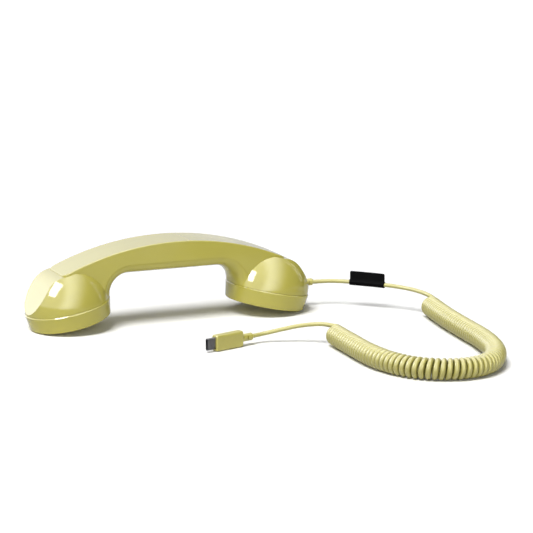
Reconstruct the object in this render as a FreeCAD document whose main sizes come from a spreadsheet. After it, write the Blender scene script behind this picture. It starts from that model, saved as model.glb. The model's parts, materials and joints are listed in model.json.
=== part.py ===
import FreeCAD, Part
import math
import os
import re

import Sketcher
from FreeCAD import Placement, Rotation, Vector

# Retro telephone handset with a curly cord and a USB-C plug, lying face down on a table.
# Frame: millimetres, +Z up, +X along the handle towards the cord, origin on the table under the
# middle of the handle. Each cup has a frame of its own: its origin is the middle of the cap's
# upper rim, its Z is the cup's axis, tilted outwards, and its X points away from the handle.

DIMENSIONS = {
    # handle
    "handle_width": 32.6, "handle_top": 58.2, "handle_arc": 198.3, "handle_reach": 82.5,
    "handle_corner": 4.5, "handle_edge": 0.8, "handle_wall": 2.2, "seam_level": 44.4,
    "seam_straight": 33.0, "seam_arc": 20.6, "belly_depth": 8.0, "belly_inset": 0.25,
    "cover_wall": 2.2,
    # cups
    "cup_reach": 74.86, "cup_level": 16.88, "cup_tilt": 11.55, "dome_radius": 29.4,
    "dome_cavity": 26.4, "rim_gap": 0.08, "neck_radius": 26.6, "neck_bore": 24.4,
    "neck_drop": 5.0, "neck_rise": 3.5, "lug_radius": 27.7, "lug_height": 1.5, "lug_drop": 4.4,
    "lug_angle": 14.0, "boss_radius": 2.6, "boss_circle": 20.2, "boss_top": 15.0,
    "pilot_radius": 0.8, "pilot_depth": 7.0,
    # caps
    "cap_radius": 30.0, "cap_foot": 28.29, "cap_height": 11.57, "cap_bore": 26.9,
    "cap_face": 10.4, "cap_floor": 8.2, "cap_bevel": 0.6, "groove_radius": 28.0,
    "groove_top": 2.6, "groove_bottom": 4.7, "hole_radius": 1.2, "hole_ring": 7.5,
    "hole_outer_ring": 14.0, "mesh_radius": 17.0, "mesh_thickness": 0.4,
    # speaker, microphone and their holders
    "holder_radius": 23.8, "holder_top": 0.0, "holder_bottom": -2.0, "magnet_radius": 9.0,
    "magnet_height": 5.0, "basket_radius": 18.5, "basket_wall": 1.2, "cone_radius": 16.0,
    "capsule_radius": 4.85, "boot_radius": 7.0, "screw_radius": 1.0,
    "screw_head": 1.9, "screw_length": 6.0,
    # electronics
    "board_thickness": 1.2, "codec_length": 24.0, "codec_width": 18.0, "codec_level": 10.0,
    "switch_board_length": 34.0, "switch_board_width": 11.0, "switch_board_level": 47.0,
    "pillar_radius": 2.4, "pillar_reach": 13.0,
    # answer button
    "button_radius": 5.5, "button_flange": 6.8, "button_bottom": 37.0, "button_shoulder": 39.9,
    "button_top": 41.2, "bezel_radius": 7.4, "bezel_bore": 5.8, "bezel_bottom": 37.4,
    "bezel_top": 39.6,
    # ballast
    "ballast_length": 28.0, "ballast_width": 20.0, "ballast_height": 4.5, "ballast_level": 45.2,
    "ballast_reach": 32.0,
    # cord
    "cord_diameter": 3.0, "coil_diameter": 14.6, "exit_reach": 110.5, "exit_level": 17.4,
    "relief_radius": 2.6, "relief_length": 10.0, "loom_diameter": 2.4,
    # label and plug
    "label_length": 26.0, "label_height": 10.6, "label_thickness": 0.8, "label_sleeve": 2.6,
    "plug_length": 22.7, "plug_height": 11.0, "plug_thickness": 6.0, "plug_corner": 1.6,
    "shell_width": 8.25, "shell_thickness": 2.40,
    "shell_length": 6.65, "mouth_width": 6.9, "mouth_thickness": 1.96, "tongue_width": 6.69, "tongue_thickness": 0.7,
}

# The dome's crest seen from the side, from the handle's end over the shoulder to the cap's rim:
# (X, Z) of the shoulder's two arcs, each given by its end, a point half way and its other end.
CREST_END = (82.5, 39.4)
CREST_MIDDLE = (88.9, 36.9)
SHOULDER = (93.2, 32.5)
WALL_MIDDLE = (98.6, 23.3)
WALL_FOOT = (104.3, 11.0)

# The cord's route, chosen by hand, from the handset to the plug.
HANDSET_LEAD = [
    (110.5, 0.0, 17.4), (118.0, -0.6, 17.4), (126.2, -5.4, 17.6), (134.6, -13.4, 17.9),
    (151.6, -30.2, 17.6), (161.4, -39.6, 16.9), (168.0, -50.0, 16.1), (173.2, -61.0, 14.4),
]
COIL_AXIS = [
    (172.8, -62.0, 7.3), (166.6, -97.0, 7.3), (162.7, -134.0, 7.3), (159.6, -171.0, 7.3),
    (150.6, -206.0, 7.3), (132.5, -230.5, 7.3), (110.5, -236.6, 7.3), (90.0, -229.0, 7.3),
    (77.0, -212.5, 7.3), (71.0, -186.0, 7.3), (72.2, -151.5, 7.3), (74.0, -117.5, 7.3),
]
PLUG_LEAD = [
    (74.4, -115.9, 13.6), (68.6, -111.6, 13.9), (62.0, -105.6, 12.9), (54.6, -100.6, 11.4),
    (46.8, -96.8, 9.4), (39.2, -93.4, 7.4), (31.8, -90.9, 5.7), (24.56, -92.96, 5.5),
]
LABEL_START = 3        # the label lies on the run that starts at this point of the handset lead
PLUG_HEADING = 197.0   # degrees from +X to the plug's nose, seen from above

doc = FreeCAD.newDocument("RetroHandset")
sheet = doc.addObject("Spreadsheet::Sheet", "Dimensions")
for row, (alias, number) in enumerate(DIMENSIONS.items(), start=1):
    sheet.set("A%d" % row, alias)
    sheet.set("B%d" % row, str(number))
    sheet.setAlias("B%d" % row, alias)
doc.recompute()

nodes = []


# ---------------------------------------------------------------- sizes and expressions

def value(text):
    """The number that a sum of products of aliases and plain numbers stands for."""
    total = 0.0
    for term in str(text).replace(" ", "").replace("-", "+-").split("+"):
        if not term:
            continue
        product = -1.0 if term.startswith("-") else 1.0
        for factor in term.lstrip("-").split("*"):
            product *= DIMENSIONS[factor] if factor in DIMENSIONS else float(factor)
        total += product
    return total


def bind(item, prop, text):
    """Bind a property to the sheet, so that the cell drives it."""
    item.setExpression(prop, re.sub(r"[a-z][a-z_]+", lambda word: "Dimensions." + word.group(), str(text)))


def cup_frame(side):
    """Placement of a cup's own frame: side is +1 at the cord's end and -1 at the other."""
    turn = Rotation(Vector(0, 1, 0), side * value("cup_tilt"))
    if side < 0:
        turn = turn * Rotation(Vector(0, 0, 1), 180)
    return Placement(Vector(side * value("cup_reach"), 0, value("cup_level")), turn)


def at(x=0.0, y=0.0, z=0.0):
    return Placement(Vector(x, y, z), Rotation())


# ---------------------------------------------------------------- Part objects

def cylinder(name, radius, height, place=None, angle=360):
    item = doc.addObject("Part::Cylinder", name)
    bind(item, "Radius", radius)
    bind(item, "Height", height)
    item.Angle = angle
    item.Placement = place or Placement()
    return item


def box(name, length, width, height, place=None):
    """A box centred on its own X and Y, standing on its own Z = 0."""
    item = doc.addObject("Part::Box", name)
    bind(item, "Length", length)
    bind(item, "Width", width)
    bind(item, "Height", height)
    centre = at(-value(length) / 2, -value(width) / 2, 0)
    item.Placement = (place or Placement()).multiply(centre)
    return item


def sphere(name, radius, place):
    item = doc.addObject("Part::Sphere", name)
    bind(item, "Radius", radius)
    item.Placement = place
    return item


def fuse(name, *shapes):
    item = doc.addObject("Part::MultiFuse", name)
    item.Shapes = list(shapes)
    return item


def common(name, *shapes):
    item = doc.addObject("Part::MultiCommon", name)
    item.Shapes = list(shapes)
    return item


def cut(name, base, tool):
    item = doc.addObject("Part::Cut", name)
    item.Base = base
    item.Tool = tool
    return item


def rounded(name, base, radius, test):
    """Fillet the edges of base for which test(edge) holds."""
    doc.recompute()
    item = doc.addObject("Part::Fillet", name)
    item.Base = base
    item.Edges = [(n, radius, radius) for n, edge in enumerate(base.Shape.Edges, start=1) if test(edge)]
    return item


def prism(name, edges, width):
    """A solid of the given outline in the XZ plane, width wide and centred on Y = 0."""
    item = doc.addObject("Part::Extrusion", name)
    outline = doc.addObject("Sketcher::SketchObject", name + "_outline")
    outline.Placement = Placement(Vector(), Rotation(Vector(1, 0, 0), 90))
    outline.addGeometry(edges, False)
    for n in range(len(edges)):
        outline.addConstraint(Sketcher.Constraint("Block", n))
    item.Base = outline
    item.DirMode = "Custom"
    item.Dir = Vector(0, 1, 0)
    item.Solid = True
    item.Symmetric = True
    bind(item, "LengthFwd", width)
    return item


def flat(x, z):
    return Vector(x, z, 0)


def chain(corners):
    """Closed outline of straight edges, or of arcs where a middle point is given."""
    edges = []
    for n, corner in enumerate(corners):
        start = flat(*corner[:2])
        end = flat(*corners[(n + 1) % len(corners)][:2])
        if len(corner) == 4:
            edges.append(Part.Arc(start, flat(*corner[2:]), end))
        else:
            edges.append(Part.LineSegment(start, end))
    return edges


def keep(item, node, place=None):
    """Name a finished sub-part, and put it in its place."""
    item.Label = node
    if place is not None:
        item.Placement = place
    nodes.append(item)
    return item


# ---------------------------------------------------------------- PartDesign bodies

def new_body(node, place=None):
    body = doc.addObject("PartDesign::Body", node)
    return keep(body, node, place)


def plane_of(body, role):
    return [item for item in body.Origin.OriginFeatures if item.Role == role][0]


def sketch_on(body, role, name, level=0.0):
    item = body.newObject("Sketcher::SketchObject", name)
    item.AttachmentSupport = [(plane_of(body, role), "")]
    item.MapMode = "FlatFace"
    item.AttachmentOffset = at(0, 0, level)
    return item


def drive_point(item, edge, x, y):
    """Hold an edge's start at (x, y), each bound to the sheet, or on an axis where it is 0."""
    for kind, axis, text in (("DistanceX", -2, x), ("DistanceY", -1, y)):
        number = value(text)
        if abs(number) < 1e-9:
            item.addConstraint(Sketcher.Constraint("PointOnObject", edge, 1, axis))
            continue
        index = item.addConstraint(Sketcher.Constraint(kind, -1, 1, edge, 1, number))
        bind(item, "Constraints[%d]" % index, text)


def draw_polygon(item, corners):
    """A closed outline through corners, each a pair of sums of aliases."""
    first = item.GeometryCount
    count = len(corners)
    points = [Vector(value(x), value(y), 0) for x, y in corners]
    item.addGeometry([Part.LineSegment(points[n], points[(n + 1) % count]) for n in range(count)], False)
    for n in range(count):
        follower = first + (n + 1) % count
        item.addConstraint(Sketcher.Constraint("Coincident", first + n, 2, follower, 1))
    for n, (x, y) in enumerate(corners):
        drive_point(item, first + n, x, y)


def draw_circle(item, radius, x="0", y="0"):
    centre = Vector(value(x), value(y), 0)
    edge = item.addGeometry(Part.Circle(centre, Vector(0, 0, 1), value(radius)), False)
    index = item.addConstraint(Sketcher.Constraint("Radius", edge, value(radius)))
    bind(item, "Constraints[%d]" % index, radius)
    for kind, axis, text in (("DistanceX", -2, x), ("DistanceY", -1, y)):
        number = value(text)
        if abs(number) < 1e-9:
            item.addConstraint(Sketcher.Constraint("PointOnObject", edge, 3, axis))
            continue
        index = item.addConstraint(Sketcher.Constraint(kind, -1, 1, edge, 3, number))
        bind(item, "Constraints[%d]" % index, text)


def draw_rectangle(item, length, width):
    half_x, half_y = "0.5*" + length, "0.5*" + width
    draw_polygon(item, [("-" + half_x, "-" + half_y), (half_x, "-" + half_y),
                        (half_x, half_y), ("-" + half_x, half_y)])


def turned(node, corners, place=None):
    """A body of revolution about its own Z, from its (radius, height) outline."""
    body = new_body(node, place)
    outline = sketch_on(body, "XZ_Plane", node + "_outline")
    draw_polygon(outline, corners)
    turn = body.newObject("PartDesign::Revolution", node + "_turn")
    turn.Profile = outline
    turn.ReferenceAxis = (outline, ["V_Axis"])
    turn.Angle = 360
    doc.recompute()
    return body


def pad(body, outline, length):
    feature = body.newObject("PartDesign::Pad", outline.Name + "_pad")
    feature.Profile = outline
    bind(feature, "Length", length)
    doc.recompute()
    return feature


def pocket(body, outline, depth, upwards):
    """Cut an outline into the body, towards +Z or towards -Z, and make sure that it cut."""
    before = body.Shape.Volume
    feature = body.newObject("PartDesign::Pocket", outline.Name + "_pocket")
    feature.Profile = outline
    feature.Reversed = upwards
    bind(feature, "Length", depth)
    doc.recompute()
    if body.Shape.Volume > before - 1e-6:
        raise RuntimeError(outline.Name + " cuts nothing")
    return feature


def ring_of(body, feature, count):
    """Repeat a feature round the body's Z axis."""
    pattern = body.newObject("PartDesign::PolarPattern", feature.Name + "_ring")
    pattern.Originals = [feature]
    axis = [item for item in body.Origin.OriginFeatures if item.Role == "Z_Axis"][0]
    pattern.Axis = (axis, [""])
    pattern.Angle = 360
    pattern.Occurrences = count
    body.Tip = pattern
    doc.recompute()
    return pattern


def smooth(body, radius, test):
    """Fillet the edges of the body for which test(edge) holds."""
    tip = body.Tip
    names = ["Edge%d" % n for n, edge in enumerate(tip.Shape.Edges, start=1) if test(edge)]
    feature = body.newObject("PartDesign::Fillet", body.Name + "_fillet%d" % len(body.Group))
    feature.Base = (tip, names)
    bind(feature, "Radius", radius)
    doc.recompute()
    return feature


def block(node, length, width, height, place=None):
    body = new_body(node, place)
    outline = sketch_on(body, "XY_Plane", node + "_outline")
    draw_rectangle(outline, length, width)
    pad(body, outline, height)
    return body


# ---------------------------------------------------------------- handle and domes

def seam_corners(drop=0.0):
    """The parting seam from the cord's end to the other, as outline corners with arcs."""
    level, straight, arc = value("seam_level"), value("seam_straight"), value("seam_arc")
    centre = level - arc
    bend = math.sqrt(0.5) * arc
    return [
        (straight + arc, centre - drop, straight + bend, centre + bend - drop),
        (straight, level - drop),
        (-straight, level - drop, -straight - bend, centre + bend - drop),
        (-straight - arc, centre - drop),
    ]


def arch_height(x):
    """Height of the handle's top above the table at distance x from its middle."""
    arc = value("handle_arc")
    return value("handle_top") - arc + math.sqrt(arc ** 2 - x ** 2)


def build_slab():
    """The flat-sided handle: arched top, parting seam below, ends that stand on the domes."""
    reach, arc, top = value("handle_reach"), value("handle_arc"), value("handle_top")
    end = arch_height(reach)
    foot = 19.0
    corners = [(-reach, end, 0.0, top), (reach, end), (reach, foot), (value("seam_straight + seam_arc"), foot)]
    corners += seam_corners()
    corners += [(-value("seam_straight + seam_arc"), foot), (-reach, foot)]
    side_view = prism("handle_side_view", chain(corners), "handle_width")
    plan = box("handle_plan", "2*handle_reach", "handle_width", "handle_top + 1")
    plan = rounded("handle_plan_round", plan, value("handle_corner"),
                   lambda edge: abs(edge.BoundBox.ZLength - value("handle_top + 1")) < 0.01)
    slab = common("handle_slab", side_view, plan)
    centre = Vector(0, 0, top - arc)

    def on_top(edge):
        """True for an edge that borders the arched top."""
        ends = [vertex.Point for vertex in edge.Vertexes] + [edge.valueAt(edge.FirstParameter)]
        middle = edge.valueAt((edge.FirstParameter + edge.LastParameter) / 2)
        return all(abs(Vector(p.x, 0, p.z).distanceToPoint(centre) - arc) < 0.01 for p in ends + [middle])

    return rounded("handle_slab_round", slab, value("handle_edge"), on_top)


def crest(name, side, shift=0.0):
    """Everything under the dome's crest, as a prism: shift moves the outline in and down."""
    outline = [
        (40.0, 0.0), (110.0, 0.0), (110.0, 5.0), WALL_FOOT + WALL_MIDDLE, SHOULDER + CREST_MIDDLE,
        CREST_END, (72.0, 41.8), (40.0, 47.0),
    ]
    moved = [tuple(v - shift * (n % 2 == 1 or side > 0) - shift * (n % 2 == 0 and side < 0)
                   for n, v in enumerate(corner)) for corner in outline]
    if side < 0:
        moved = [tuple(-v if n % 2 == 0 else v for n, v in enumerate(corner)) for corner in moved]
    return prism(name, chain(moved), "3*cap_radius")


def below_rim(name, side):
    """The space that belongs to a cap: all that lies under the cup's rim."""
    return box(name, "150", "120", "80", cup_frame(side).multiply(at(0, 0, value("rim_gap") - 80)))


def build_dome(name, side):
    ball = sphere(name + "_ball", "dome_radius", at(side * value("cup_reach"), 0, value("cup_level")))
    return common(name, ball, crest(name + "_crest", side))


def cup_cavity(name, side):
    """The dome's inside, with the neck's bore below it."""
    ball = sphere(name + "_ball", "dome_cavity", at(side * value("cup_reach"), 0, value("cup_level")))
    room = common(name + "_room", ball, crest(name + "_crest", side, 2.6))
    floor = below_rim(name + "_floor", side)
    raised = cup_frame(side).multiply(at(0, 0, value("neck_rise") - 80))
    floor.Placement = raised.multiply(at(-75, -60, 0))
    room = cut(name + "_above_neck", room, floor)
    bore_place = cup_frame(side).multiply(at(0, 0, -value("neck_drop + 1")))
    bore = cylinder(name + "_bore", "neck_bore", "neck_drop + neck_rise + 1.5", bore_place)
    return fuse(name, room, bore)


def neck(name, side):
    """The tube that the cap turns on, with three lugs that hold the cap."""
    frame = cup_frame(side)
    tube = cylinder(name + "_tube", "neck_radius", "neck_drop + neck_rise",
                    frame.multiply(at(0, 0, -value("neck_drop"))))
    parts = [tube]
    for n in range(3):
        angle = 90 + 120 * n - value("lug_angle") / 2
        place = Placement(Vector(0, 0, -value("lug_drop")), Rotation(Vector(0, 0, 1), angle))
        parts.append(cylinder("%s_lug%d" % (name, n), "lug_radius", "lug_height",
                              frame.multiply(place), value("lug_angle")))
    return fuse(name, *parts)


def boss_places(side, level):
    """The four places where a holder's screws go, in the cup's frame."""
    places = []
    for angle in (60, 120, 240, 300):
        turn = math.radians(angle)
        radius = value("boss_circle")
        spot = at(radius * math.cos(turn), radius * math.sin(turn), level)
        places.append(cup_frame(side).multiply(spot))
    return places


def along_x(name, radius, length, start):
    """A cylinder along +X on the cord's exit line."""
    place = Placement(Vector(start, 0, value("exit_level")), Rotation(Vector(0, 1, 0), 90))
    return cylinder(name, radius, length, place)


def build_shell():
    slab = build_slab()
    domes = [build_dome("mouthpiece_dome", 1), build_dome("earpiece_dome", -1)]
    outside = fuse("shell_outside", slab, *domes)
    caps = fuse("cap_space", below_rim("mouthpiece_cap_space", 1), below_rim("earpiece_cap_space", -1))
    outside = cut("shell_trimmed", outside, caps)

    wall, arc, top = value("handle_wall"), value("handle_arc"), value("handle_top")
    inner_end = value("handle_reach") - 2 * wall
    inner_height = top - arc + math.sqrt((arc - wall) ** 2 - inner_end ** 2)
    level, straight, seam = value("seam_level") - 0.5, value("seam_straight"), value("seam_arc")
    bend = math.sqrt(0.5) * seam
    knee = (straight + bend, level - seam + bend)
    quarter = (straight + seam * math.sin(math.pi / 8), level - seam + seam * math.cos(math.pi / 8))
    shelf = 34.0
    corners = [
        (-inner_end, inner_height, 0.0, top - wall), (inner_end, inner_height), (inner_end, shelf),
        (62.0, shelf), knee + quarter, (straight, level),
        (-straight, level, -quarter[0], quarter[1]), (-knee[0], knee[1]), (-62.0, shelf),
        (-inner_end, shelf),
    ]
    tunnel = prism("handle_tunnel", chain(corners), "handle_width - 2*handle_wall")
    cavity = fuse("shell_cavity", tunnel, cup_cavity("mouthpiece_cavity", 1),
                  cup_cavity("earpiece_cavity", -1))
    hollow = cut("shell_hollow", outside, cavity)

    necks = fuse("shell_necks", hollow, neck("mouthpiece_neck", 1), neck("earpiece_neck", -1))
    bores = []
    for side, cup in ((1, "mouthpiece"), (-1, "earpiece")):
        bores.append(cylinder(cup + "_neck_bore", "neck_bore", "neck_drop + neck_rise + 2",
                              cup_frame(side).multiply(at(0, 0, -value("neck_drop + 1")))))
    open_shell = cut("shell_open", necks, fuse("neck_bores", *bores))

    inside = []
    for side, cup in ((1, "mouthpiece"), (-1, "earpiece")):
        for n, place in enumerate(boss_places(side, value("holder_top"))):
            inside.append(cylinder("%s_boss%d" % (cup, n), "boss_radius", "boss_top - holder_top", place))
    for n, x in enumerate((-47.2, -17.0, 17.0, 47.2)):
        height = "handle_top - ballast_level - ballast_height"
        inside.append(box("rib%d" % n, "2", "ballast_width - 2", height,
                          at(x, 0, value("ballast_level + ballast_height"))))
    inside.append(along_x("cord_seat", "relief_radius + 0.95", "6", 95.7))
    inner_features = common("inner_features", fuse("bosses_and_ribs", *inside), outside)
    solid = fuse("shell_solid", open_shell, inner_features)

    holes = [along_x("cord_hole", "relief_radius - 0.35", "14", 92.0)]
    for side, cup in ((1, "mouthpiece"), (-1, "earpiece")):
        for n, place in enumerate(boss_places(side, value("holder_top"))):
            holes.append(cylinder("%s_pilot%d" % (cup, n), "pilot_radius", "pilot_depth", place))
    keep(cut("handle_shell_cut", solid, fuse("shell_holes", *holes)), "handle_shell")
    return domes, caps


def belly(half_width, depth, foot):
    """Half an ellipse swept along the seam: down at one cup, over the handle, down at the other."""
    level, straight, arc = value("seam_level"), value("seam_straight"), value("seam_arc")

    def section(place):
        ellipse = Part.Ellipse(Vector(0, 0, 0), half_width, depth)
        curve = Part.ArcOfEllipse(ellipse, 0, math.pi).toShape()
        face = Part.Face(Part.Wire([curve, Part.LineSegment(Vector(-half_width, 0, 0),
                                                           Vector(half_width, 0, 0)).toShape()]))
        face.Placement = place
        return face

    # the section's own X lies along Y, and its own Y points down, towards the hand
    upright = Rotation(Vector(0, 1, 0), Vector(0, 0, -1), Vector(-1, 0, 0))
    parts = [section(Placement(Vector(-straight, 0, level), upright)).extrude(Vector(2 * straight, 0, 0))]
    for side in (1, -1):
        start = section(Placement(Vector(side * straight, 0, level), upright))
        bend = start.revolve(Vector(side * straight, 0, level - arc), Vector(0, 1, 0), side * 90)
        drop = section(Placement(Vector(side * straight, 0, level), upright))
        drop.rotate(Vector(side * straight, 0, level - arc), Vector(0, 1, 0), side * 90)
        parts += [bend, drop.extrude(Vector(0, 0, foot - (level - arc)))]
    solid = parts[0]
    for extra in parts[1:]:
        solid = solid.fuse(extra)
    return solid.removeSplitter()


def build_cover(domes, caps):
    """The rounded underside of the handle: a thin shell that closes it along the seam."""
    outer = doc.addObject("Part::Feature", "cover_outside")
    outer.Shape = belly(value("0.5*handle_width - belly_inset"), value("belly_depth"), 15.0)
    inner = doc.addObject("Part::Feature", "cover_inside")
    inner.Shape = belly(value("0.5*handle_width - belly_inset - cover_wall"),
                        value("belly_depth - cover_wall"), 30.0)
    cover = cut("cover_trimmed", outer, fuse("cover_tools", caps, inner, *domes))
    pillars = []
    height = "switch_board_level - seam_level + belly_depth - 1"
    base = value("seam_level - belly_depth + 1")
    for side in (1, -1):
        pillars.append(cylinder("cover_pillar%d" % (side + 1), "pillar_radius", height,
                                at(side * value("pillar_reach"), 0, base)))
    cover = fuse("cover_with_pillars", cover, *pillars)
    tools = [cylinder("bezel_seat", "bezel_radius", "12", at(0, 0, 33))]
    for side in (1, -1):
        tools.append(cylinder("pillar_pilot%d" % (side + 1), "pilot_radius", "pilot_depth",
                              at(side * value("pillar_reach"), 0, value("switch_board_level - pilot_depth"))))
    keep(cut("cover_cut", cover, fuse("cover_bores", *tools)), "inner_cover")


# ---------------------------------------------------------------- caps

def build_cap(node, side):
    """Round cap: a dished face with sound holes, a tapered wall and a groove for the lugs."""
    body = turned(node, [
        ("0", "-cap_face"), ("cap_foot - 6", "-cap_face"), ("cap_foot - 3.8", "-cap_height"),
        ("cap_foot - cap_bevel", "-cap_height"), ("cap_foot", "-cap_height + cap_bevel"),
        ("cap_radius - 0.05", "-rim_gap - cap_bevel"), ("cap_radius - cap_bevel", "-rim_gap"),
        ("cap_bore", "-rim_gap"), ("cap_bore", "-groove_top"), ("groove_radius", "-groove_top"),
        ("groove_radius", "-groove_bottom"), ("cap_bore", "-groove_bottom"), ("cap_bore", "-6"),
        ("cap_bore - 1.2", "-cap_floor"), ("0", "-cap_floor"),
    ], cup_frame(side))
    rings = [("centre_hole", "0", 1), ("inner_hole", "hole_ring", 6), ("outer_hole", "hole_outer_ring", 12)]
    for name, reach, count in rings:
        outline = sketch_on(body, "XY_Plane", node + "_" + name, -value("cap_height"))
        draw_circle(outline, "hole_radius", reach)
        feature = pocket(body, outline, "cap_height - cap_floor + 1", True)
        if count > 1:
            ring_of(body, feature, count)
    # a slot from the rim to the groove lets each lug in, a twist away from where it locks
    slot = sketch_on(body, "XY_Plane", node + "_slot", -value("groove_bottom"))
    half = math.radians(value("lug_angle")) / 2 + 0.02
    turn = math.radians(90 - 28)
    radii = (value("cap_bore") - 1.0, value("groove_radius"))
    corners = []
    for radius, angle in ((radii[0], turn - half), (radii[1], turn - half), (radii[1], turn + half),
                          (radii[0], turn + half)):
        corners.append(Vector(radius * math.cos(angle), radius * math.sin(angle), 0))
    slot.addGeometry([Part.LineSegment(corners[n], corners[(n + 1) % 4]) for n in range(4)], False)
    for n in range(4):
        slot.addConstraint(Sketcher.Constraint("Coincident", n, 2, (n + 1) % 4, 1))
        slot.addConstraint(Sketcher.Constraint("Block", n))
    ring_of(body, pocket(body, slot, "groove_bottom", True), 3)


def build_mesh(node, side):
    """Disc of acoustic cloth on the inside of the cap's face."""
    turned(node, [("0", "-cap_floor"), ("mesh_radius", "-cap_floor"),
                  ("mesh_radius", "-cap_floor + mesh_thickness"), ("0", "-cap_floor + mesh_thickness")],
           cup_frame(side))


# ---------------------------------------------------------------- speaker and microphone

def screw_holes(body, node, level):
    """Clearance holes of a holder, under the four bosses."""
    outline = sketch_on(body, "XY_Plane", node + "_screw_holes", level)
    for angle in (60, 120, 240, 300):
        turn = math.radians(angle)
        across = "%.6f*boss_circle" % math.cos(turn)
        along = "%.6f*boss_circle" % math.sin(turn)
        draw_circle(outline, "screw_radius + 0.1", across, along)
    pocket(body, outline, "5", True)


def build_speaker():
    frame = cup_frame(-1)
    holder = turned("speaker_holder", [
        ("magnet_radius", "holder_bottom"), ("holder_radius", "holder_bottom"),
        ("holder_radius", "holder_top"), ("magnet_radius + 1.5", "holder_top"),
        ("magnet_radius + 1.5", "holder_top + 2"), ("magnet_radius", "holder_top + 2"),
    ], frame)
    screw_holes(holder, "speaker_holder", value("holder_bottom") - 1)
    turned("speaker_magnet", [
        ("0", "holder_bottom"), ("magnet_radius", "holder_bottom"),
        ("magnet_radius", "holder_bottom + magnet_height"), ("0", "holder_bottom + magnet_height"),
    ], frame)
    turned("speaker_frame", [
        ("cone_radius + 0.2", "-7"), ("basket_radius", "-7"), ("basket_radius", "-5.6"),
        ("cone_radius + 1.4", "-5.6"), ("12.0", "holder_bottom"), ("5.0", "holder_bottom"),
        ("5.0", "holder_bottom - basket_wall"), ("11.4", "holder_bottom - basket_wall"),
        ("cone_radius + 0.2", "-6"),
    ], frame)
    turned("speaker_cone", [
        ("0", "-5.0"), ("4.8", "-4.1"), ("cone_radius - 2", "-6.2"), ("cone_radius", "-6.2"),
        ("cone_radius", "-5.9"), ("cone_radius - 2", "-5.9"), ("4.8", "-3.8"), ("0", "-4.7"),
    ], frame)
    turned("speaker_gasket", [
        ("cone_radius + 0.2", "-7.5"), ("basket_radius", "-7.5"), ("basket_radius", "-7"),
        ("cone_radius + 0.2", "-7"),
    ], frame)


def build_microphone():
    frame = cup_frame(1)
    holder = turned("microphone_holder", [
        ("boot_radius", "holder_bottom"), ("boot_radius", "-5.4"), ("boot_radius + 1.4", "-5.4"),
        ("boot_radius + 1.4", "holder_bottom"), ("holder_radius", "holder_bottom"),
        ("holder_radius", "holder_top"), ("3.0", "holder_top"), ("3.0", "holder_bottom"),
    ], frame)
    screw_holes(holder, "microphone_holder", value("holder_bottom") - 1)
    turned("microphone_boot", [
        ("3.4", "-7.5"), ("boot_radius", "-7.5"), ("boot_radius", "holder_bottom"),
        ("3.0", "holder_bottom"), ("3.0", "-3.2"), ("capsule_radius", "-3.2"),
        ("capsule_radius", "-6.8"), ("3.4", "-6.8"),
    ], frame)
    turned("microphone_capsule", [
        ("0", "-6.8"), ("capsule_radius", "-6.8"), ("capsule_radius", "-3.2"), ("0", "-3.2"),
    ], frame)


def screw(name, place):
    """A small pan-head screw, its head below and its shank up."""
    head = cylinder(name + "_head", "screw_head", "1.1", place)
    shank = cylinder(name + "_shank", "pilot_radius", "screw_length", place.multiply(at(0, 0, 1.1)))
    return fuse(name, head, shank)


def build_screws():
    holder = []
    for side in (1, -1):
        for n, place in enumerate(boss_places(side, value("holder_bottom") - 1.1)):
            holder.append(screw("holder_screw%d_%d" % (side + 1, n), place))
    keep(doc.addObject("Part::Compound", "holder_screw_set"), "holder_screws").Links = holder
    board = []
    upside_down = Rotation(Vector(1, 0, 0), 180)
    for side in (1, -1):
        top = value("switch_board_level + board_thickness") + 1.1
        place = Placement(Vector(side * value("pillar_reach"), 0, top), upside_down)
        board.append(screw("switch_board_screw%d" % (side + 1), place))
    for n, x in enumerate((-9.5, 8.5)):
        top = value("codec_level + board_thickness") + 1.1
        local = Placement(Vector(x - 2.0, 0, top), upside_down)
        board.append(screw("codec_board_screw%d" % n, cup_frame(1).multiply(local)))
    keep(doc.addObject("Part::Compound", "board_screw_set"), "board_screws").Links = board


# ---------------------------------------------------------------- electronics

def build_electronics():
    cup = cup_frame(1)
    board = block("codec_board", "codec_length", "codec_width", "board_thickness",
                  cup.multiply(at(-2.5, 0, value("codec_level"))))
    holes = sketch_on(board, "XY_Plane", "codec_board_holes", -1)
    for x in ("9", "-9"):
        draw_circle(holes, "screw_radius", x)
    pocket(board, holes, "4", True)
    chip = block("codec_chip", "5", "5", "0.9",
                 cup.multiply(at(-2.5, 4.5, value("codec_level + board_thickness"))))
    smooth(chip, "0.2", lambda edge: edge.BoundBox.ZLength > 0.5)
    standoffs = []
    for n, x in enumerate((-11.5, 6.5)):
        post = cylinder("standoff_post%d" % n, "2.2", "codec_level - holder_top",
                        cup.multiply(at(x, 0, value("holder_top"))))
        hole = cylinder("standoff_hole%d" % n, "pilot_radius", "codec_level - holder_top",
                        cup.multiply(at(x, 0, value("holder_top"))))
        standoffs.append(cut("standoff%d" % n, post, hole))
    keep(doc.addObject("Part::Compound", "standoff_set"), "board_standoffs").Links = standoffs

    switch_board = block("switch_board", "switch_board_length", "switch_board_width",
                         "board_thickness", at(0, 0, value("switch_board_level")))
    holes = sketch_on(switch_board, "XY_Plane", "switch_board_holes", -1)
    for x in ("pillar_reach", "-pillar_reach"):
        draw_circle(holes, "screw_radius", x)
    pocket(switch_board, holes, "4", True)

    tact = block("tact_switch", "6", "6", "3.5", at(0, 0, value("switch_board_level") - 3.5))
    outline = sketch_on(tact, "XY_Plane", "tact_switch_plunger", -1.2)
    draw_circle(outline, "1.75")
    pad(tact, outline, "1.2")


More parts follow.
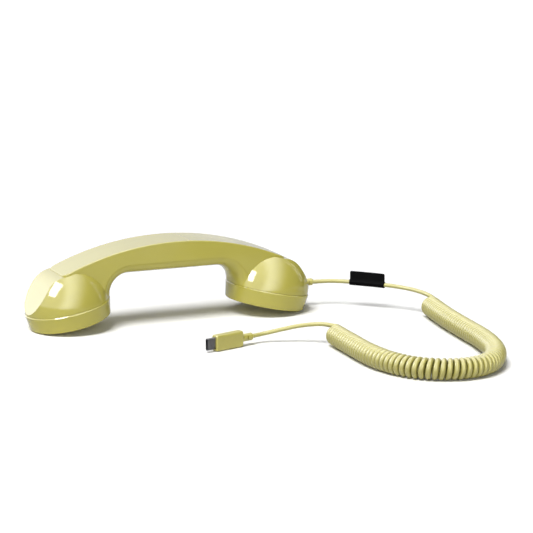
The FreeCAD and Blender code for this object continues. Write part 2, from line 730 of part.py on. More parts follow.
def build_button():
    turned("answer_button", [
        ("0", "button_bottom + 0.3"), ("button_radius - 1.6", "button_bottom"),
        ("button_radius - 0.6", "button_bottom"), ("button_radius", "button_bottom + 0.6"),
        ("button_radius", "button_shoulder"), ("button_flange", "button_shoulder"),
        ("button_flange", "button_top"), ("0", "button_top"),
    ])
    turned("button_bezel", [
        ("bezel_bore", "bezel_bottom + 0.5"), ("bezel_bore + 0.5", "bezel_bottom"),
        ("bezel_radius - 0.5", "bezel_bottom"), ("bezel_radius", "bezel_bottom + 0.5"),
        ("bezel_radius", "bezel_top"), ("bezel_bore", "bezel_top"),
    ])


def build_ballast():
    for node, side in (("earpiece_ballast", -1), ("mouthpiece_ballast", 1)):
        bar = block(node, "ballast_length", "ballast_width", "ballast_height",
                    at(side * value("ballast_reach"), 0, value("ballast_level")))
        smooth(bar, "1", lambda edge: edge.BoundBox.ZLength > 4)


# ---------------------------------------------------------------- cord

def rounded_path(points, name):
    """Straight runs joined by tangent arcs, each as large as its two runs allow."""
    points = [Vector(*point) for point in points]
    edges, start, radii = [], points[0], []
    for before, corner, after in zip(points, points[1:], points[2:]):
        run = min((corner - before).Length, (after - corner).Length)
        into = (corner - before).normalize()
        out = (after - corner).normalize()
        turn = into.getAngle(out)
        reach = 0.45 * run
        radius = reach / math.tan(turn / 2)
        radii.append(radius)
        begin, end = corner - into * reach, corner + out * reach
        inward = (out - into).normalize()
        middle = corner + inward * (radius / math.cos(turn / 2) - radius)
        edges.append(Part.LineSegment(start, begin).toShape())
        edges.append(Part.Arc(begin, middle, end).toShape())
        start = end
    edges.append(Part.LineSegment(start, points[-1]).toShape())
    print("%s: radii %s mm" % (name, ", ".join("%.0f" % radius for radius in radii)))
    return Part.Wire(edges)


def tube(node, points, diameter):
    """A round tube along a route, checked against its section times its length."""
    radius = value("0.5*" + diameter)
    path = rounded_path(points, node)
    first = path.Edges[0]
    heading = first.tangentAt(first.FirstParameter)
    circle = Part.Wire(Part.Circle(Vector(*points[0]), heading, radius).toShape())
    solid = path.makePipeShell([circle], True, False)
    ideal = math.pi * radius ** 2 * path.Length
    print("%s: length %.1f mm, volume %.4f of ideal" % (node, path.Length, solid.Volume / ideal))
    item = doc.addObject("Part::Feature", node)
    item.Shape = solid
    return keep(item, node)


def build_cord():
    build_label(tube("handset_cord", HANDSET_LEAD, "cord_diameter"))
    tube("cord_coil", COIL_AXIS, "coil_diameter")
    tube("plug_cord", PLUG_LEAD, "cord_diameter")
    tube("handle_wires", [
        (-75.0, 4.0, 24.5), (-68.0, 6.0, 33.0), (-58.0, 9.0, 40.5), (-46.0, 12.2, 46.0),
        (-24.0, 12.4, 49.8), (0.0, 12.2, 51.2), (24.0, 12.4, 49.8), (46.0, 12.2, 46.0),
        (57.0, 9.0, 41.2), (66.0, 5.0, 36.5), (72.6, 1.0, 31.4),
    ], "loom_diameter")


def build_relief(node, place, flange):
    """Strain relief: a round sleeve with a bevelled tip and a slot through its middle."""
    corners = [("0.5*cord_diameter", "0"), ("relief_radius", "0")]
    if flange:
        corners = [("0.5*cord_diameter", "-6.3"), ("relief_radius + 0.65", "-6.3"),
                   ("relief_radius + 0.65", "-4.9"), ("relief_radius - 0.35", "-4.9"),
                   ("relief_radius - 0.35", "2.7"), ("relief_radius", "2.7")]
    corners += [("relief_radius", "relief_length - 1.4"), ("relief_radius - 0.85", "relief_length - 0.2"),
                ("0.5*cord_diameter", "relief_length")]
    body = turned(node, corners, place)
    middle = 6.0 if flange else 4.3
    slot = sketch_on(body, "XZ_Plane", node + "_slot", -5)
    draw_polygon(slot, [("-1.15", "%.2f" % (middle - 0.6)), ("1.15", "%.2f" % (middle - 0.6)),
                        ("1.15", "%.2f" % (middle + 0.6)), ("-1.15", "%.2f" % (middle + 0.6))])
    pocket(body, slot, "10", True)
    return body


def build_label(cord):
    """Blank label folded round the lead: a sleeve below and a flat flag standing above."""
    start, end = Vector(*HANDSET_LEAD[LABEL_START]), Vector(*HANDSET_LEAD[LABEL_START + 1])
    middle = (start + end) * 0.5
    along = (end - start).normalize()
    across = Vector(0, 0, 1).cross(along).normalize()
    place = Placement(middle, Rotation(along, across, Vector(0, 0, 1), "XYZ"))
    flag = box("label_flag", "label_length", "label_thickness", "label_height - label_sleeve", place)
    end_on = Placement(Vector(-value("0.5*label_length"), 0, 0), Rotation(Vector(0, 1, 0), 90))
    sleeve = cylinder("label_tube", "label_sleeve", "label_length", place.multiply(end_on))
    keep(cut("label_cut", fuse("label_body", flag, sleeve), cord), "cord_label")


def build_plug():
    rear = Vector(*PLUG_LEAD[-1])
    turn = Rotation(Vector(0, 0, 1), PLUG_HEADING)
    nose = turn.multVec(Vector(1, 0, 0))
    joint = rear + nose * value("relief_length")
    build_relief("plug_strain_relief", Placement(joint, turn * Rotation(Vector(0, 1, 0), -90)), False)

    body_place = Placement(joint, turn * Rotation(Vector(0, 1, 0), 90))
    housing = block("plug_housing", "plug_height", "plug_thickness", "plug_length", body_place)
    smooth(housing, "plug_corner", lambda edge: edge.BoundBox.ZLength > 10)
    smooth(housing, "0.9", lambda edge: edge.BoundBox.ZLength < 0.01)
    socket = sketch_on(housing, "XY_Plane", "plug_housing_socket", value("plug_length") - 3)
    draw_rectangle(socket, "shell_width", "shell_thickness")
    pocket(housing, socket, "4", True)

    front = joint + nose * value("plug_length - 3")
    shell = block("plug_shell", "shell_width", "shell_thickness", "shell_length + 3",
                  Placement(front, body_place.Rotation))
    smooth(shell, "0.5*shell_thickness - 0.02", lambda edge: edge.BoundBox.ZLength > 5)
    mouth = sketch_on(shell, "XY_Plane", "plug_shell_mouth", 1.0)
    draw_rectangle(mouth, "mouth_width", "mouth_thickness")
    pocket(shell, mouth, "shell_length + 3", True)
    block("plug_tongue", "tongue_width", "tongue_thickness", "shell_length",
          Placement(joint + nose * value("plug_length - 2"), body_place.Rotation))
    contacts = []
    for face in (1, -1):
        for n in range(6):
            lane = 0.5 * (2 * n - 5)
            local = Placement(Vector(lane * 0.9, face * 0.45, 0), Rotation())
            place = Placement(joint + nose * value("plug_length - 1"), body_place.Rotation).multiply(local)
            contacts.append(box("contact_%d_%d" % (face + 1, n), "0.3", "0.2", "5", place))
    keep(doc.addObject("Part::Compound", "contact_set"), "plug_contacts").Links = contacts


def build_clamp():
    """Saddle that holds the cord's end inside the mouthpiece dome, on the microphone's holder."""
    start = value("exit_reach") - 10 - 6.3
    keep(along_x("cord_core_run", "0.5*cord_diameter", "9", start - 9), "cord_core")
    saddle = box("saddle_block", "4", "8", "5.4", cup_frame(1).multiply(at(13.5, 0, value("holder_top"))))
    hole = along_x("saddle_hole", "0.5*cord_diameter", "12", start - 12)
    keep(cut("saddle_cut", saddle, hole), "cord_clamp")


# ---------------------------------------------------------------- assembly

shell_domes, cap_space = build_shell()
build_cover(shell_domes, cap_space)
build_cap("earpiece_cap", -1)
build_cap("mouthpiece_cap", 1)
build_mesh("earpiece_mesh", -1)
build_mesh("mouthpiece_mesh", 1)
build_speaker()
build_microphone()
build_electronics()
build_button()
build_ballast()
build_screws()
build_cord()
build_clamp()
build_relief("handset_strain_relief",
             Placement(Vector(value("exit_reach") - 10, 0, value("exit_level")),
                       Rotation(Vector(0, 1, 0), 90)), True)
build_plug()
doc.recompute()

for item in doc.Objects:
    if "Invalid" in item.State or "Error" in item.State:
        raise RuntimeError("%s failed: %s" % (item.Name, item.State))
for item in nodes:
    if item.Shape.isNull() or not item.Shape.isValid():
        raise RuntimeError("%s has no valid shape" % item.Label)

os.makedirs("parts", exist_ok=True)
for item in nodes:
    item.Shape.exportStep(os.path.join("parts", item.Label + ".step"))
    print("%-24s %10.1f mm3 %2d solid(s)" % (item.Label, item.Shape.Volume, len(item.Shape.Solids)))
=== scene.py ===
import json
import math

import bmesh
import bpy
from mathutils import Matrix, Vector


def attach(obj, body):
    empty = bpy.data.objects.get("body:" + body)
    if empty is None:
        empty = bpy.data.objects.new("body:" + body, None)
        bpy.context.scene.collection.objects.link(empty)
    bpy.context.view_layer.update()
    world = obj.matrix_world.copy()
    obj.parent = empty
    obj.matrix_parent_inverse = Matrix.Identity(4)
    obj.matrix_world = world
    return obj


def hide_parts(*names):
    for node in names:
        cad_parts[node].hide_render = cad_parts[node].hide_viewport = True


# Retro telephone handset with a curly cord and a USB-C plug, lying face down on a pale floor.
# Metres, in the CAD frame: +X along the handle towards the cord, +Z up.

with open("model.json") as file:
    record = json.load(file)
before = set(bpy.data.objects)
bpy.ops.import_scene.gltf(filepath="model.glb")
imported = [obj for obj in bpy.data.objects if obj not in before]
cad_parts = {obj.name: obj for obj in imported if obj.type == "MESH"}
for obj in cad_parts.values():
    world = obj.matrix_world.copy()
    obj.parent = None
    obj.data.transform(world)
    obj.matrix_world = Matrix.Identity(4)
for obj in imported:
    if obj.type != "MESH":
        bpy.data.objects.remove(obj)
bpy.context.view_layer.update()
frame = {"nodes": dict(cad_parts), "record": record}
NODES = frame["nodes"]
SCENE = bpy.context.scene
COLLECTION = SCENE.collection

MM = 0.001
CORD_DIAMETER = 3.4 * MM        # in the coil
CORD_RADIUS = CORD_DIAMETER / 2
LEAD_RADIUS = 1.5 * MM          # the straight leads are a little thinner
POINTS_PER_TURN = 18
COIL_START = 2.2                # mm along the coil's axis
COIL_START_ANGLE = 62.0         # degrees from the top
HANDSET_END = 15.0 * MM         # cord inside the handset's strain relief
PLUG_END = 9.2 * MM             # cord inside the plug's strain relief
FLOOR_LEVEL = -0.2 * MM
COIL_CLEARANCE = 0.1 * MM       # under the coil
SPLINE_SHARE = 1.008            # the smooth line cuts inside its points, so they lie further out

# The cord's route, in millimetres, as in the CAD model.
HANDSET_LEAD = [
    (110.5, 0.0, 17.4), (118.0, -0.6, 17.4), (126.2, -5.4, 17.6), (134.6, -13.4, 17.9),
    (151.6, -30.2, 17.6), (161.4, -39.6, 16.9), (168.0, -50.0, 16.1), (173.2, -61.0, 14.4),
]
COIL_AXIS = [
    (172.8, -62.0, 7.3), (166.6, -97.0, 7.3), (162.7, -134.0, 7.3), (159.6, -171.0, 7.3),
    (150.6, -206.0, 7.3), (132.5, -230.5, 7.3), (110.5, -236.6, 7.3), (90.0, -229.0, 7.3),
    (77.0, -212.5, 7.3), (71.0, -186.0, 7.3), (72.2, -151.5, 7.3), (74.0, -117.5, 7.3),
]
PLUG_LEAD = [
    (74.4, -115.9, 13.6), (68.6, -111.6, 13.9), (62.0, -105.6, 12.9), (54.6, -100.6, 11.4),
    (46.8, -96.8, 9.4), (39.2, -93.4, 7.4), (31.8, -90.9, 5.7), (24.56, -92.96, 5.5),
]
# Pitch of the turns (mm) at distances along the coil's axis (mm).
PITCH = [(0, 3.5), (130, 3.5), (160, 3.45), (190, 3.7), (220, 4.1), (250, 4.0), (275, 3.65),
         (300, 3.55), (345, 3.6)]
# Radius of the coil's centreline (mm): the turns lie a little closer along the front.
TURN_RADIUS = [(0, 5.6), (150, 5.6), (185, 5.4), (235, 5.4), (270, 5.6), (345, 5.6)]
# Thickness of the turns against the rest of the coil: the open turns at the front look fuller.
GIRTH = [(0, 1.0), (185, 1.0), (215, 1.07), (258, 1.07), (280, 1.0), (345, 1.0)]
LABEL_SPAN = (27.4, 53.4)       # mm along the handset lead
LABEL_RADIUS = 2.4              # mm, of its sleeve
LABEL_TOP = 8.0                 # mm above the cord's middle
LABEL_CORNER = 0.9              # mm


# ---------------------------------------------------------------- materials

class Shader:
    """A node material with a Principled shader; its nodes are added from left to right."""

    def __init__(self, name, **inputs):
        self.material = bpy.data.materials.new(name)
        self.material.use_nodes = True
        self.tree = self.material.node_tree
        self.bsdf = self.tree.nodes["Principled BSDF"]
        self.coordinates = self.tree.nodes.new("ShaderNodeTexCoord").outputs["Object"]
        for key, number in inputs.items():
            self.bsdf.inputs[key.replace("_", " ")].default_value = number

    def node(self, kind, links=None, **settings):
        made = self.tree.nodes.new(kind)
        for key, setting in settings.items():
            setattr(made, key, setting)
        for key, source in (links or {}).items():
            if isinstance(source, bpy.types.NodeSocket):
                self.tree.links.new(source, made.inputs[key])
            else:
                made.inputs[key].default_value = source
        return made

    def stretched(self, scale):
        return self.node("ShaderNodeMapping", {"Vector": self.coordinates, "Scale": scale}).outputs[0]

    def noise(self, scale, detail=3.0, rough=0.5, vector=None):
        links = {"Vector": vector or self.coordinates, "Scale": scale, "Detail": detail,
                 "Roughness": rough}
        return self.node("ShaderNodeTexNoise", links).outputs["Fac"]

    def spots(self, scale):
        links = {"Vector": self.coordinates, "Scale": scale}
        return self.node("ShaderNodeTexVoronoi", links).outputs["Distance"]

    def waves(self, scale, direction, distortion=0.0):
        links = {"Vector": self.coordinates, "Scale": scale, "Distortion": distortion}
        return self.node("ShaderNodeTexWave", links, bands_direction=direction).outputs["Fac"]

    def math(self, operation, a, b):
        return self.node("ShaderNodeMath", {0: a, 1: b}, operation=operation).outputs[0]

    def ramp(self, source, low, high, start, end):
        """Map source from low..high to start..end."""
        links = {"Value": source, "From Min": low, "From Max": high, "To Min": start, "To Max": end}
        return self.node("ShaderNodeMapRange", links).outputs["Result"]

    def colour(self, factor, first, second):
        mix = self.node("ShaderNodeMix", data_type="RGBA")
        self.tree.links.new(factor, mix.inputs[0])
        mix.inputs[6].default_value = (*first, 1)
        mix.inputs[7].default_value = (*second, 1)
        self.tree.links.new(mix.outputs[2], self.bsdf.inputs["Base Color"])

    def roughness(self, source):
        self.tree.links.new(source, self.bsdf.inputs["Roughness"])

    def bumps(self, *layers):
        """Each layer is a height and its depth in metres."""
        normal = None
        for height, depth in layers:
            links = {"Height": height, "Distance": depth, "Strength": 1.0}
            if normal:
                links["Normal"] = normal
            normal = self.node("ShaderNodeBump", links).outputs["Normal"]
        self.tree.links.new(normal, self.bsdf.inputs["Normal"])


def shade(colour, factor):
    return tuple(min(1.0, channel * factor) for channel in colour)


def gloss_plastic(name, colour, rough, coat):
    """Moulded plastic: slight mottling, faint orange peel and hairline handling marks."""
    made = Shader(name, Coat_Weight=coat, Coat_Roughness=0.02, IOR=1.5)
    mottle = made.ramp(made.noise(38.0, 4.0), 0.1, 0.9, 0.0, 1.0)
    made.colour(mottle, shade(colour, 0.97), shade(colour, 1.03))
    smear = made.noise(95.0, 3.0, 0.5)
    made.roughness(made.ramp(smear, 0.1, 0.9, rough, rough + 0.06))
    hairline = made.noise(60.0, 3.0, 0.6, made.stretched((3.0, 60.0, 60.0)))
    made.bumps((made.noise(240.0, 1.0), 0.000012), (hairline, 0.0000012))
    return made.material


def soft_plastic(name, colour, rough):
    """Soft moulded jacket: a fine grain under a broad sheen."""
    made = Shader(name, IOR=1.5, Coat_Weight=1.0, Coat_Roughness=0.3)
    mottle = made.ramp(made.noise(150.0, 3.0, 0.5), 0.2, 0.8, 0.0, 1.0)
    made.colour(mottle, shade(colour, 0.95), shade(colour, 1.04))
    made.roughness(made.ramp(made.noise(700.0, 2.0), 0.2, 0.8, rough, rough + 0.08))
    made.bumps((made.noise(2600.0, 2.0), 0.000005))
    return made.material


def matt_plastic(name, colour, rough):
    made = Shader(name, IOR=1.5)
    mottle = made.ramp(made.noise(220.0), 0.3, 0.7, 0.0, 1.0)
    made.colour(mottle, shade(colour, 0.8), shade(colour, 1.25))
    made.roughness(made.ramp(made.noise(900.0), 0.3, 0.7, rough, rough + 0.15))
    made.bumps((made.spots(1800.0), 0.00003))
    return made.material


def metal(name, colour, rough, stretch, depth=0.000006):
    """Drawn, brushed or turned metal: streaks along one direction, with faint tarnish."""
    made = Shader(name, Metallic=1.0)
    streaks = made.noise(60.0, 4.0, 0.7, made.stretched(stretch))
    tarnish = made.noise(260.0, 5.0, 0.6)
    made.colour(made.ramp(tarnish, 0.35, 0.7, 0.0, 1.0), shade(colour, 1.06), shade(colour, 0.8))
    made.roughness(made.ramp(streaks, 0.3, 0.7, rough, rough + 0.16))
    made.bumps((streaks, depth))
    return made.material


def cloth(name, colour):
    """Woven acoustic cloth: threads 0.3 mm apart, crossing at right angles."""
    made = Shader(name, Sheen_Weight=0.3, Roughness=0.9)
    weave = made.math("MULTIPLY", made.waves(1050.0, "X", 0.4), made.waves(1050.0, "Y", 0.4))
    made.colour(made.ramp(weave, 0.0, 0.6, 0.0, 1.0), shade(colour, 0.4), shade(colour, 2.2))
    made.bumps((weave, 0.00008))
    return made.material


def rubber(name, colour, pores):
    made = Shader(name, IOR=1.48, Sheen_Weight=0.1)
    cells = made.spots(pores)
    made.colour(made.ramp(cells, 0.0, 0.6, 0.0, 1.0), shade(colour, 0.6), shade(colour, 1.5))
    made.roughness(made.ramp(made.noise(500.0), 0.3, 0.7, 0.6, 0.85))
    made.bumps((cells, 0.00006))
    return made.material


def laminate(name, colour):
    """Solder resist over a woven laminate, with paler tracks under it."""
    made = Shader(name, Coat_Weight=0.4, Coat_Roughness=0.2)
    tracks = made.math("GREATER_THAN", made.waves(110.0, "X", 6.0), 0.82)
    made.colour(tracks, colour, shade(colour, 1.7))
    made.roughness(made.ramp(made.noise(400.0), 0.3, 0.7, 0.3, 0.45))
    weave = made.math("MULTIPLY", made.waves(900.0, "X"), made.waves(900.0, "Y"))
    made.bumps((tracks, 0.00004), (weave, 0.00001))
    return made.material


def film(name, colour):
    """Black film of the blank label: smooth, with faint creases."""
    made = Shader(name, IOR=1.3, Specular_IOR_Level=0.05)
    made.colour(made.ramp(made.noise(120.0), 0.3, 0.7, 0.0, 1.0), shade(colour, 0.7), shade(colour, 1.5))
    made.roughness(made.ramp(made.noise(300.0, 4.0), 0.3, 0.7, 0.28, 0.4))
    made.bumps((made.noise(90.0, 2.0), 0.00012), (made.noise(1500.0), 0.000008))
    return made.material


def floor_paint(name):
    """Plain pale studio sweep with a barely visible tooth; where it shows in gloss it is painted darker,
    a painted shade in its reflections.
    """
    made = Shader(name, IOR=1.3, Specular_IOR_Level=0.1)
    # painted shade: glossy rays see the floor at 0.62 of its colour, so its reflections on the handset
    # come out darker
    in_gloss = made.node("ShaderNodeLightPath").outputs["Is Glossy Ray"]
    tone = made.ramp(made.noise(6.0), 0.3, 0.7, 0.98, 1.0)
    tone_and_reflected_shade = made.math("MULTIPLY", made.ramp(in_gloss, 0.0, 1.0, 1.0, 0.62), tone)
    made.colour(tone_and_reflected_shade, (0.0, 0.0, 0.0), (0.95, 0.95, 0.95))
    made.roughness(made.ramp(made.noise(60.0), 0.3, 0.7, 0.75, 0.9))
    made.bumps((made.noise(900.0), 0.00002))
    return made.material


YELLOW = (0.384, 0.345, 0.066)
CORD_YELLOW = (0.34, 0.31, 0.078)
SLOTS = {
    "shell_plastic": gloss_plastic("shell_plastic", YELLOW, 0.09, 0.25),
    "button_plastic": gloss_plastic("button_plastic", YELLOW, 0.12, 0.35),
    "cord_jacket": soft_plastic("cord_jacket", CORD_YELLOW, 0.34),
    "relief_plastic": soft_plastic("relief_plastic", YELLOW, 0.3),
    "plug_plastic": soft_plastic("plug_plastic", YELLOW, 0.26),
    "wire_jacket": matt_plastic("wire_jacket", (0.02, 0.02, 0.02), 0.5),
    "holder_plastic": matt_plastic("holder_plastic", (0.03, 0.03, 0.03), 0.5),
    "chip_black": matt_plastic("chip_black", (0.015, 0.015, 0.016), 0.45),
    "tongue_black": matt_plastic("tongue_black", (0.015, 0.015, 0.015), 0.4),
    "label_black": film("label_black", (0.002, 0.002, 0.0022)),
    "acoustic_cloth": cloth("acoustic_cloth", (0.02, 0.02, 0.02)),
    "cone_paper": cloth("cone_paper", (0.05, 0.045, 0.04)),
    "foam": rubber("foam", (0.03, 0.03, 0.03), 1600.0),
    "boot_rubber": rubber("boot_rubber", (0.03, 0.03, 0.03), 900.0),
    "board_laminate": laminate("board_laminate", (0.012, 0.09, 0.03)),
    "bezel_chrome": metal("bezel_chrome", (0.75, 0.75, 0.76), 0.05, (40.0, 40.0, 2.0), 0.000001),
    "plug_steel": metal("plug_steel", (0.17, 0.17, 0.18), 0.3, (3.0, 8.0, 60.0)),
    "screw_steel": metal("screw_steel", (0.55, 0.55, 0.57), 0.25, (30.0, 30.0, 3.0)),
    "ballast_steel": metal("ballast_steel", (0.42, 0.42, 0.44), 0.35, (2.0, 60.0, 60.0)),
    "stamped_steel": metal("stamped_steel", (0.5, 0.5, 0.52), 0.3, (40.0, 40.0, 4.0)),
    "capsule_aluminium": metal("capsule_aluminium", (0.7, 0.7, 0.71), 0.25, (6.0, 6.0, 60.0)),
    "magnet_iron": metal("magnet_iron", (0.15, 0.15, 0.16), 0.45, (30.0, 30.0, 30.0)),
    "standoff_brass": metal("standoff_brass", (0.72, 0.52, 0.2), 0.25, (4.0, 4.0, 60.0)),
    "contact_gold": metal("contact_gold", (0.83, 0.62, 0.25), 0.18, (3.0, 30.0, 60.0)),
}


def dress_nodes():
    """Give each CAD node the material of its slot."""
    for part in frame["record"]["subparts"]:
        mesh = NODES[part["node"]].data
        mesh.materials.clear()
        mesh.materials.append(SLOTS[part["material_slot"]])


def finish_piece(piece, slot, body="handset"):
    """Give a new piece its material, its slot and its body."""
    piece.data.materials.clear()
    piece.data.materials.append(SLOTS[slot])
    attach(piece, body)
    return piece


def mesh_piece(name, shape):
    mesh = bpy.data.meshes.new(name)
    shape.to_mesh(mesh)
    shape.free()
    piece = bpy.data.objects.new(name, mesh)
    COLLECTION.objects.link(piece)
    for face in mesh.polygons:
        face.use_smooth = True
    return piece


# ---------------------------------------------------------------- cord

def spline_curve(name, points, resolution):
    """A smooth NURBS curve with the given points, in metres, as its control points."""
    curve = bpy.data.curves.new(name, "CURVE")
    curve.dimensions = "3D"
    curve.resolution_u = resolution
    spline = curve.splines.new("NURBS")
    spline.points.add(len(points) - 1)
    for target, point in zip(spline.points, points):
        target.co = (*point, 1.0)
    spline.order_u = 3
    spline.use_endpoint_u = True
    return curve


def line_of(points_mm, resolution=24):
    """The points of the smooth line through a route, in metres."""
    curve = spline_curve("route", [Vector(point) * MM for point in points_mm], resolution)
    carrier = bpy.data.objects.new("route", curve)
    mesh = bpy.data.meshes.new_from_object(carrier)
    line = [vertex.co.copy() for vertex in mesh.vertices]
    bpy.data.meshes.remove(mesh)
    bpy.data.objects.remove(carrier)
    bpy.data.curves.remove(curve)
    return line


def table_value(table, place):
    """Linear interpolation in a list of (place, value) pairs."""
    for (x0, y0), (x1, y1) in zip(table, table[1:]):
        if place <= x1:
            return y0 + (y1 - y0) * (place - x0) / (x1 - x0)
    return table[-1][1]


class Line:
    """A line's points, with positions and headings by distance along it, in metres."""

    def __init__(self, points):
        self.points = points
        self.at = [0.0]
        for first, second in zip(points, points[1:]):
            self.at.append(self.at[-1] + (second - first).length)
        self.length = self.at[-1]

    def index(self, distance):
        low, high = 0, len(self.at) - 2
        while low < high:
            middle = (low + high + 1) // 2
            if self.at[middle] <= distance:
                low = middle
            else:
                high = middle - 1
        return low

    def position(self, distance):
        n = self.index(distance)
        share = (distance - self.at[n]) / max(self.at[n + 1] - self.at[n], 1e-12)
        return self.points[n].lerp(self.points[n + 1], share)

    def heading(self, distance, reach=0.0015):
        before = self.position(max(0.0, distance - reach))
        after = self.position(min(self.length, distance + reach))
        return (after - before).normalized()


def helix_points(axis):
    """Left-handed turns round the coil's axis, in metres, and the thickness of each point."""
    up = Vector((0, 0, 1))
    places, angles = [], []
    place, angle = COIL_START, math.radians(COIL_START_ANGLE)
    end = axis.length / MM
    while place < end:
        places.append(place)
        angles.append(angle)
        pitch = table_value(PITCH, place)
        angle += 2 * math.pi / POINTS_PER_TURN
        place += pitch / POINTS_PER_TURN
    # the last turn ends at the top
    spare = angles[-1] % (2 * math.pi)
    stretch = (angles[-1] - spare - angles[0]) / (angles[-1] - angles[0])
    points, girths = [], []
    for place, angle in zip(places, angles):
        angle = angles[0] + (angle - angles[0]) * stretch
        distance = place * MM
        heading = axis.heading(distance)
        side = up.cross(heading).normalized()
        radius = table_value(TURN_RADIUS, place) * MM
        # no two turns are quite the same size
        slow, quick = math.sin(1.7 * angle / (2 * math.pi)), math.sin(0.61 * angle)
        wobble = 0.05 * MM * slow + 0.04 * MM * quick
        centre = axis.position(distance)
        girth = table_value(GIRTH, place)
        girths.append(girth)
        centre.z = radius + CORD_RADIUS * girth + COIL_CLEARANCE
        drawn = (radius + min(0.0, wobble)) * SPLINE_SHARE
        points.append(centre + up * (drawn * math.cos(angle)) + side * (drawn * math.sin(angle)))
    return points, girths


def build_cord():
    axis = Line(line_of(COIL_AXIS))
    helix, girths = helix_points(axis)
    lead = [Vector(point) * MM for point in HANDSET_LEAD]
    tail = [Vector(point) * MM for point in PLUG_LEAD]
    # the ends run on through the two strain reliefs
    lead[0] = lead[0] - Vector((HANDSET_END, 0, 0))
    tail[-1] = tail[-1] + (tail[-1] - tail[-2]).normalized() * PLUG_END
    points = lead + helix + tail[1:]
    curve = spline_curve("curly_cord", points, 4)
    curve.bevel_depth = CORD_RADIUS
    curve.bevel_resolution = 3
    curve.use_fill_caps = True
    share = LEAD_RADIUS / CORD_RADIUS
    thickness = [share] * len(lead) + girths + [share] * (len(tail) - 1)
    for point, radius in zip(curve.splines[0].points, thickness):
        point.radius = radius
    cord = bpy.data.objects.new("curly_cord", curve)
    COLLECTION.objects.link(cord)
    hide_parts("handset_cord", "cord_coil", "plug_cord")
    return finish_piece(cord, "cord_jacket")


def build_label():
    """Blank black flag folded round the lead: a sleeve on the cord and two plies above it."""
    lead = Line(line_of(HANDSET_LEAD))
    up = Vector((0, 0, 1))
    # profile in (across, height) mm about the cord's middle, going round the outside
    half, foot, top = 0.40, 2.35, LABEL_TOP
    outline = [(half, foot), (half, top - 0.25), (half - 0.22, top),
               (-half + 0.22, top), (-half, top - 0.25), (-half, foot)]
    for step in range(1, 12):
        turn = math.radians(99.5 + 341 * step / 12)
        outline.append((LABEL_RADIUS * math.cos(turn), LABEL_RADIUS * math.sin(turn)))
    shape = bmesh.new()
    start, end = LABEL_SPAN
    rings, count = [], 40
    for n in range(count + 1):
        distance = (start + (end - start) * n / count) * MM
        centre, heading = lead.position(distance), lead.heading(distance)
        across = up.cross(heading).normalized()
        from_end = min(n, count - n) * (end - start) / count
        ring = []
        for x, z in outline:
            # the flag's corners are rounded
            if z > foot:
                short = max(0.0, LABEL_CORNER - from_end)
                rise = math.sqrt(max(0.0, LABEL_CORNER ** 2 - short ** 2))
                z = min(z, top - LABEL_CORNER + rise)
            lean = 0.02 * max(0.0, z - foot) * math.sin(math.pi * n / count)
            ring.append(shape.verts.new(centre + across * ((x + lean) * MM) + up * (z * MM)))
        rings.append(ring)
    for first, second in zip(rings, rings[1:]):
        for n in range(len(first)):
            follower = (n + 1) % len(first)
            shape.faces.new((first[n], first[follower], second[follower], second[n]))
    shape.faces.new(list(reversed(rings[0])))
    shape.faces.new(rings[-1])
    bmesh.ops.recalc_face_normals(shape, faces=shape.faces)
    label = mesh_piece("blank_label", shape)
    bevel = label.modifiers.new("edges", "BEVEL")
    bevel.width = 0.00012
    bevel.segments = 2
    bevel.limit_method = "ANGLE"
    bevel.angle_limit = math.radians(40)
    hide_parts("cord_label")
    return finish_piece(label, "label_black")


# ---------------------------------------------------------------- studio

def build_floor():
    shape = bmesh.new()
    bmesh.ops.create_grid(shape, x_segments=24, y_segments=24, size=9.0)
    for vertex in shape.verts:
        vertex.co.z = FLOOR_LEVEL
    floor = mesh_piece("floor", shape)
    floor.data.materials.append(floor_paint("floor_paint"))


def area_light(name, place, target, size, radiance):
    """A rectangular light of the given radiance, which shows only in gloss."""
    light = bpy.data.lights.new(name, "AREA")
    light.shape = "RECTANGLE"
    light.size, light.size_y = size
    light.energy = radiance * math.pi * size[0] * size[1]
    holder = bpy.data.objects.new(name, light)
    COLLECTION.objects.link(holder)
    holder.location = place
    aim = Vector(target) - Vector(place)
    holder.rotation_euler = aim.to_track_quat("-Z", "Y").to_euler()
    holder.visible_diffuse = False
    holder.visible_camera = False
    return holder


def sun_light(name, aim, energy, angle):
    """A soft distant light, which doesn't show in gloss."""
    sun = bpy.data.lights.new(name, "SUN")
    sun.energy = energy
    sun.angle = math.radians(angle)
    holder = bpy.data.objects.new(name, sun)
    COLLECTION.objects.link(holder)
    holder.rotation_euler = Vector(aim).to_track_quat("-Z", "Y").to_euler()
    holder.visible_glossy = False


def build_lights():
    sun_light("key", (0.42, 0.32, -1.0), 3.5, 30)
    sun_light("fill", (0.15, 1.0, -0.12), 1.6, 60)
    area_light("softbox", (-0.26, -0.10, 0.245), (-0.06, -0.02, 0.03), (0.11, 0.20), 24.0)
    area_light("strip_a", (0.9, 0.06, 0.42), (0.0, -0.02, 0.03), (0.014, 0.8), 8.0)
    area_light("strip_b", (0.9, -0.06, 0.42), (0.0, -0.02, 0.03), (0.014, 0.8), 8.0)

    build_world()


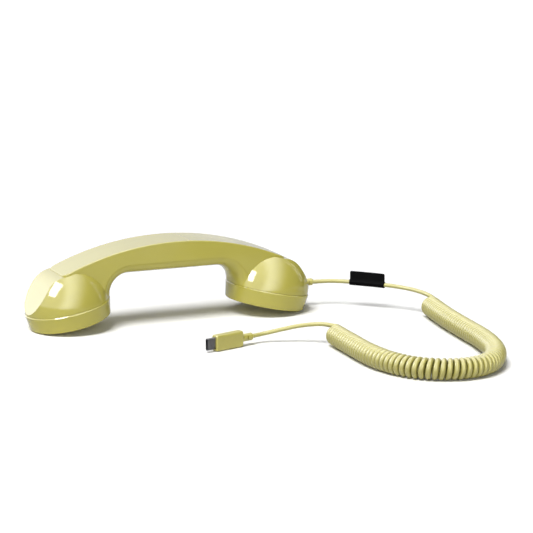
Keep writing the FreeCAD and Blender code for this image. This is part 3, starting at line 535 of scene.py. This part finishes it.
def build_world():
    """Soft surround: for gloss it is bright on the left and above and dark on the right."""
    world = bpy.data.worlds.new("studio")
    SCENE.world = world
    world.use_nodes = True
    tree = world.node_tree
    nodes, links = tree.nodes, tree.links

    def ramp(source, low, high, start, end):
        made = nodes.new("ShaderNodeMapRange")
        made.interpolation_type = "SMOOTHSTEP"
        links.new(source, made.inputs["Value"])
        for key, number in (("From Min", low), ("From Max", high), ("To Min", start), ("To Max", end)):
            if isinstance(number, bpy.types.NodeSocket):
                links.new(number, made.inputs[key])
            else:
                made.inputs[key].default_value = number
        return made.outputs["Result"]

    parts = nodes.new("ShaderNodeSeparateXYZ")
    links.new(nodes.new("ShaderNodeTexCoord").outputs["Generated"], parts.inputs[0])
    lean = nodes.new("ShaderNodeMath")
    lean.operation = "MULTIPLY_ADD"
    links.new(parts.outputs["Z"], lean.inputs[0])
    lean.inputs[1].default_value = -0.45
    links.new(parts.outputs["X"], lean.inputs[2])
    falling = ramp(lean.outputs[0], -0.5, 0.5, 6.4, 0.1)
    side_gloss = ramp(lean.outputs[0], -0.8, -0.4, 2.9, falling)
    back_gloss = ramp(parts.outputs["X"], -0.5, 0.6, 3.5, 0.7)
    gloss = ramp(parts.outputs["Y"], 0.5, 0.85, side_gloss, back_gloss)
    ambient = ramp(parts.outputs["Y"], -0.5, 0.6, 0.04, 0.15)
    glossy_ray = nodes.new("ShaderNodeLightPath").outputs["Is Glossy Ray"]
    links.new(ramp(glossy_ray, 0.0, 1.0, ambient, gloss), nodes["Background"].inputs["Strength"])
    nodes["Background"].inputs["Color"].default_value = (1, 1, 1, 1)


def build_camera():
    camera = bpy.data.cameras.new("camera")
    camera.lens = 178.4
    camera.sensor_width = 36.0
    camera.clip_end = 50.0
    holder = bpy.data.objects.new("camera", camera)
    COLLECTION.objects.link(holder)
    holder.location = (-0.64419, -1.68715, 0.41341)
    holder.rotation_euler = (math.radians(90 - 11.77), 0.0, math.radians(-23.07))
    SCENE.camera = holder


build_camera()
cord = build_cord()
label = build_label()
dress_nodes()
build_floor()
build_lights()
SCENE.view_settings.view_transform = "Standard"
